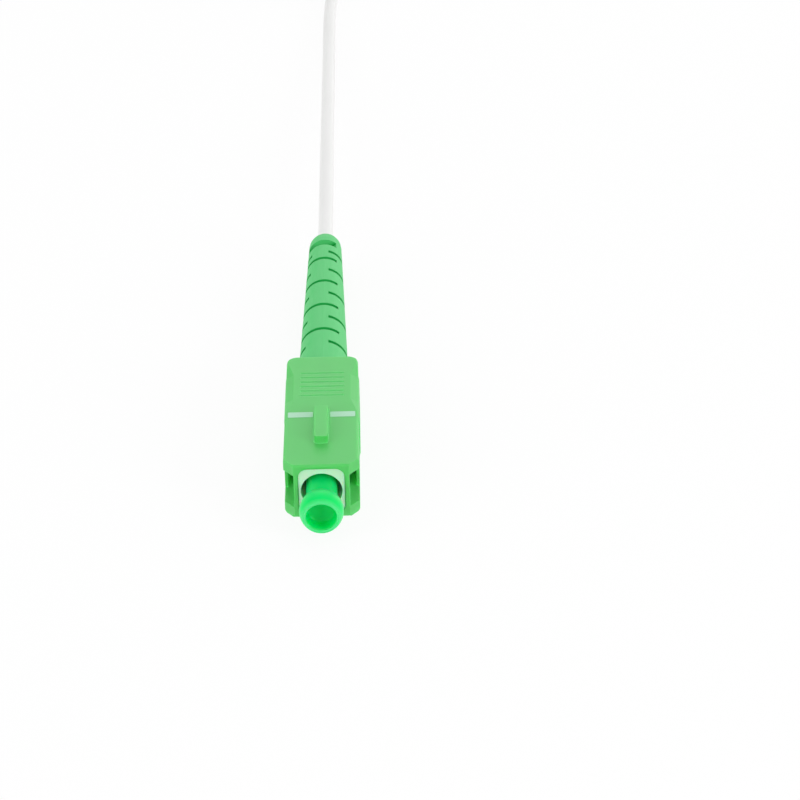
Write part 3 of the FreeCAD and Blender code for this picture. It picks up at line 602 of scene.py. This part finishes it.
def printed_mark(name, side, material):
    """Printed bar beside the key; it lies flat on the housing's top face."""
    inner = 1.05 * MM
    outer = 4.1 * MM
    near = at(10.7)
    far = at(11.87)
    coat = 0.012 * MM
    corner = 0.12 * MM
    outline = rounded_outline([(inner, near, corner), (outer, near, corner),
                               (outer, far, corner), (inner, far, corner)], steps=4)
    count = len(outline)
    verts = [(side * x, y, z) for z in (TOP_FACE_Z, TOP_FACE_Z + coat) for x, y in outline]
    faces = [tuple(range(count)), tuple(range(count, 2 * count))]
    faces += [(k, (k + 1) % count, count + (k + 1) % count, count + k) for k in range(count)]
    mark = new_piece(name, verts, faces, "grip", material)


def ferrule_spring(material):
    """Round-wire compression spring with a closed turn at each end."""
    wire_r = 0.225 * MM
    coil_r = (spring_high.x - spring_low.x) / 2 - wire_r
    start = spring_low.y + wire_r
    length = spring_high.y - spring_low.y - 2 * wire_r
    turns = 8
    per_turn = 28
    sides = 10
    # How far a closed turn climbs: its own wire and a little air.
    closed = 2.15 * wire_r
    verts = []
    faces = []
    count = turns * per_turn + 1
    for k in range(count):
        turn = k / per_turn
        open_turns = min(max(turn - 1, 0), turns - 2)
        ends = min(turn, 1) + max(turn - (turns - 1), 0)
        y = start + ends * closed + open_turns * (length - 2 * closed) / (turns - 2)
        angle = 2 * math.pi * turn
        outward = Vector((math.cos(angle), 0, math.sin(angle)))
        centre = outward * coil_r + Vector((0, y, AXIS_Z))
        for side in range(sides):
            roll = 2 * math.pi * side / sides
            spoke = outward * math.cos(roll) + Vector((0, 1, 0)) * math.sin(roll)
            verts.append(tuple(centre + spoke * wire_r))
    for k in range(count - 1):
        for side in range(sides):
            after = (side + 1) % sides
            here = k * sides
            there = here + sides
            faces.append((here + side, here + after, there + after, there + side))
    faces.append(tuple(range(sides)))
    faces.append(tuple(range((count - 1) * sides, count * sides)))
    spring = new_piece("spring_coil", verts, faces, "plug_body", material)
    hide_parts("ferrule_spring")
    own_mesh(spring)


def hank_strap(material):
    """Hook-and-loop strap, wrapped once and a bit round the waist of the hank."""
    thickness = 0.22 * MM
    layer = 0.26 * MM
    half_x = (tie_high.x - tie_low.x) / 2
    half_z = (tie_high.z - tie_low.z) / 2
    centre_x = (tie_low.x + tie_high.x) / 2
    centre_z = (tie_low.z + tie_high.z) / 2
    corner = 0.9 * MM
    inner = Vector((half_x - 2 * layer, half_z - 2 * layer))
    ring = rounded_outline([(-inner.x, inner.y, corner), (inner.x, inner.y, corner),
                            (inner.x, -inner.y, corner), (-inner.x, -inner.y, corner)], steps=8)
    overlap = len(ring) // 3
    path = ring + ring[:overlap]
    # The strap climbs onto its own first turn over its last few steps round the ring.
    climb = 4
    rows = 7
    verts = []
    faces = []
    for k, point in enumerate(path):
        before = path[max(k - 1, 0)]
        after = path[min(k + 1, len(path) - 1)]
        along = (after - before).normalized()
        outward = Vector((-along.y, along.x))
        lift = layer * min(1.0, max(0.0, (k - len(ring) + climb) / climb))
        for face_lift in (0, thickness):
            place = point + outward * (lift + face_lift)
            for row in range(rows):
                y = tie_low.y + (tie_high.y - tie_low.y) * row / (rows - 1)
                verts.append((centre_x + place.x, y, centre_z + place.y))
    loop = list(range(rows)) + list(range(2 * rows - 1, rows - 1, -1))
    around = len(loop)
    for k in range(len(path) - 1):
        here = [k * 2 * rows + index for index in loop]
        there = [(k + 1) * 2 * rows + index for index in loop]
        for edge in range(around):
            after = (edge + 1) % around
            faces.append((here[edge], here[after], there[after], there[edge]))
    faces.append(tuple(loop))
    faces.append(tuple((len(path) - 1) * 2 * rows + index for index in loop))
    strap = new_piece("hank_strap", verts, faces, "plug_body", material)
    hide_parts("hank_tie")
    return strap


# ---------------------------------------------------------------------------- studio
# Light that reaches the object from all round, where one is full white.
AMBIENT = 0.66


def make_floor(material):
    """Level sheet under the object, wide enough to fill the view from any side."""
    reach = 2.0
    mesh = bpy.data.meshes.new("floor")
    mesh.from_pydata([(-reach, -reach, 0), (reach, -reach, 0), (reach, reach, 0),
                      (-reach, reach, 0)], [], [(0, 1, 2, 3)])
    floor = bpy.data.objects.new("floor", mesh)
    bpy.context.scene.collection.objects.link(floor)
    mesh.materials.append(material)


def make_world():
    """Even white surroundings; the camera, gloss and glass see plain white."""
    world = bpy.data.worlds.new("studio_surroundings")
    bpy.context.scene.world = world
    world.use_nodes = True
    tree = world.node_tree
    tree.nodes.clear()
    lit = add_node(tree, "ShaderNodeBackground",
                   {"Color": srgb("#ffffff"), "Strength": AMBIENT}, {})
    white = add_node(tree, "ShaderNodeBackground", {"Color": srgb("#ffffff"), "Strength": 1.0}, {})
    mixed = add_node(tree, "ShaderNodeMixShader", {},
                     {0: seen_directly(tree), 1: lit.outputs[0], 2: white.outputs[0]})
    add_node(tree, "ShaderNodeOutputWorld", {}, {"Surface": mixed.outputs[0]})


def make_lamp(name, place, target, size, level):
    """Square soft lamp that adds this share of full white on a surface that faces it."""
    data = bpy.data.lights.new(name, "AREA")
    data.shape = "SQUARE"
    data.size = size
    ray = Vector(target) - Vector(place)
    data.energy = level * math.pi ** 2 * ray.length ** 2
    lamp = bpy.data.objects.new(name, data)
    bpy.context.scene.collection.objects.link(lamp)
    lamp.location = place
    lamp.rotation_euler = ray.to_track_quat("-Z", "Y").to_euler()


# ------------------------------------------------------------------------- the whole
make_camera()

pbt_green = moulded_pbt_green()
brass = nickel_plated_brass()
node_finishes = {
    "outer_housing": pbt_green,
    "plug_frame": moulded_pbt_white(),
    "ferrule": polished_zirconia(),
    "ferrule_flange": brass,
    "guide_tube": extruded_ptfe(),
    "bare_fibre": drawn_silica(),
    "buffered_fibre": tight_buffer_nylon(),
    "stop_ring": brass,
    "aramid_yarn": spread_aramid(),
    "crimp_ring": pressed_aluminium(),
    "boot": soft_tpe_green(),
}
for node_name, finish in node_finishes.items():
    finish_with(bpy.data.objects[node_name], finish)

strap = hank_strap(woven_nylon_tie())
cable_cord = make_cable()
cable_cord.data.materials.append(extruded_jacket_white())
dust_cap(soft_pvc_green())
ink = printed_white_ink()
printed_mark("mark_left", -1, ink)
printed_mark("mark_right", 1, ink)
ferrule_spring(drawn_spring_steel())

make_floor(studio_floor())
make_world()
middle = (0.0, at(20.0), AXIS_Z)
make_lamp("overhead_softbox", (0.25, 0.05, 0.50), middle, size=0.30, level=0.05)
make_lamp("back_softbox", (0.05, 0.48, 0.30), middle, size=0.55, level=0.22)
make_lamp("back_edge", (0.38, 0.50, 0.08), middle, size=0.30, level=0.08)
make_lamp("left_fill", (-0.52, -0.30, 0.18), middle, size=0.45, level=0.46)
make_lamp("right_fill", (0.50, -0.32, 0.20), middle, size=0.20, level=0.38)

bpy.context.view_layer.update()
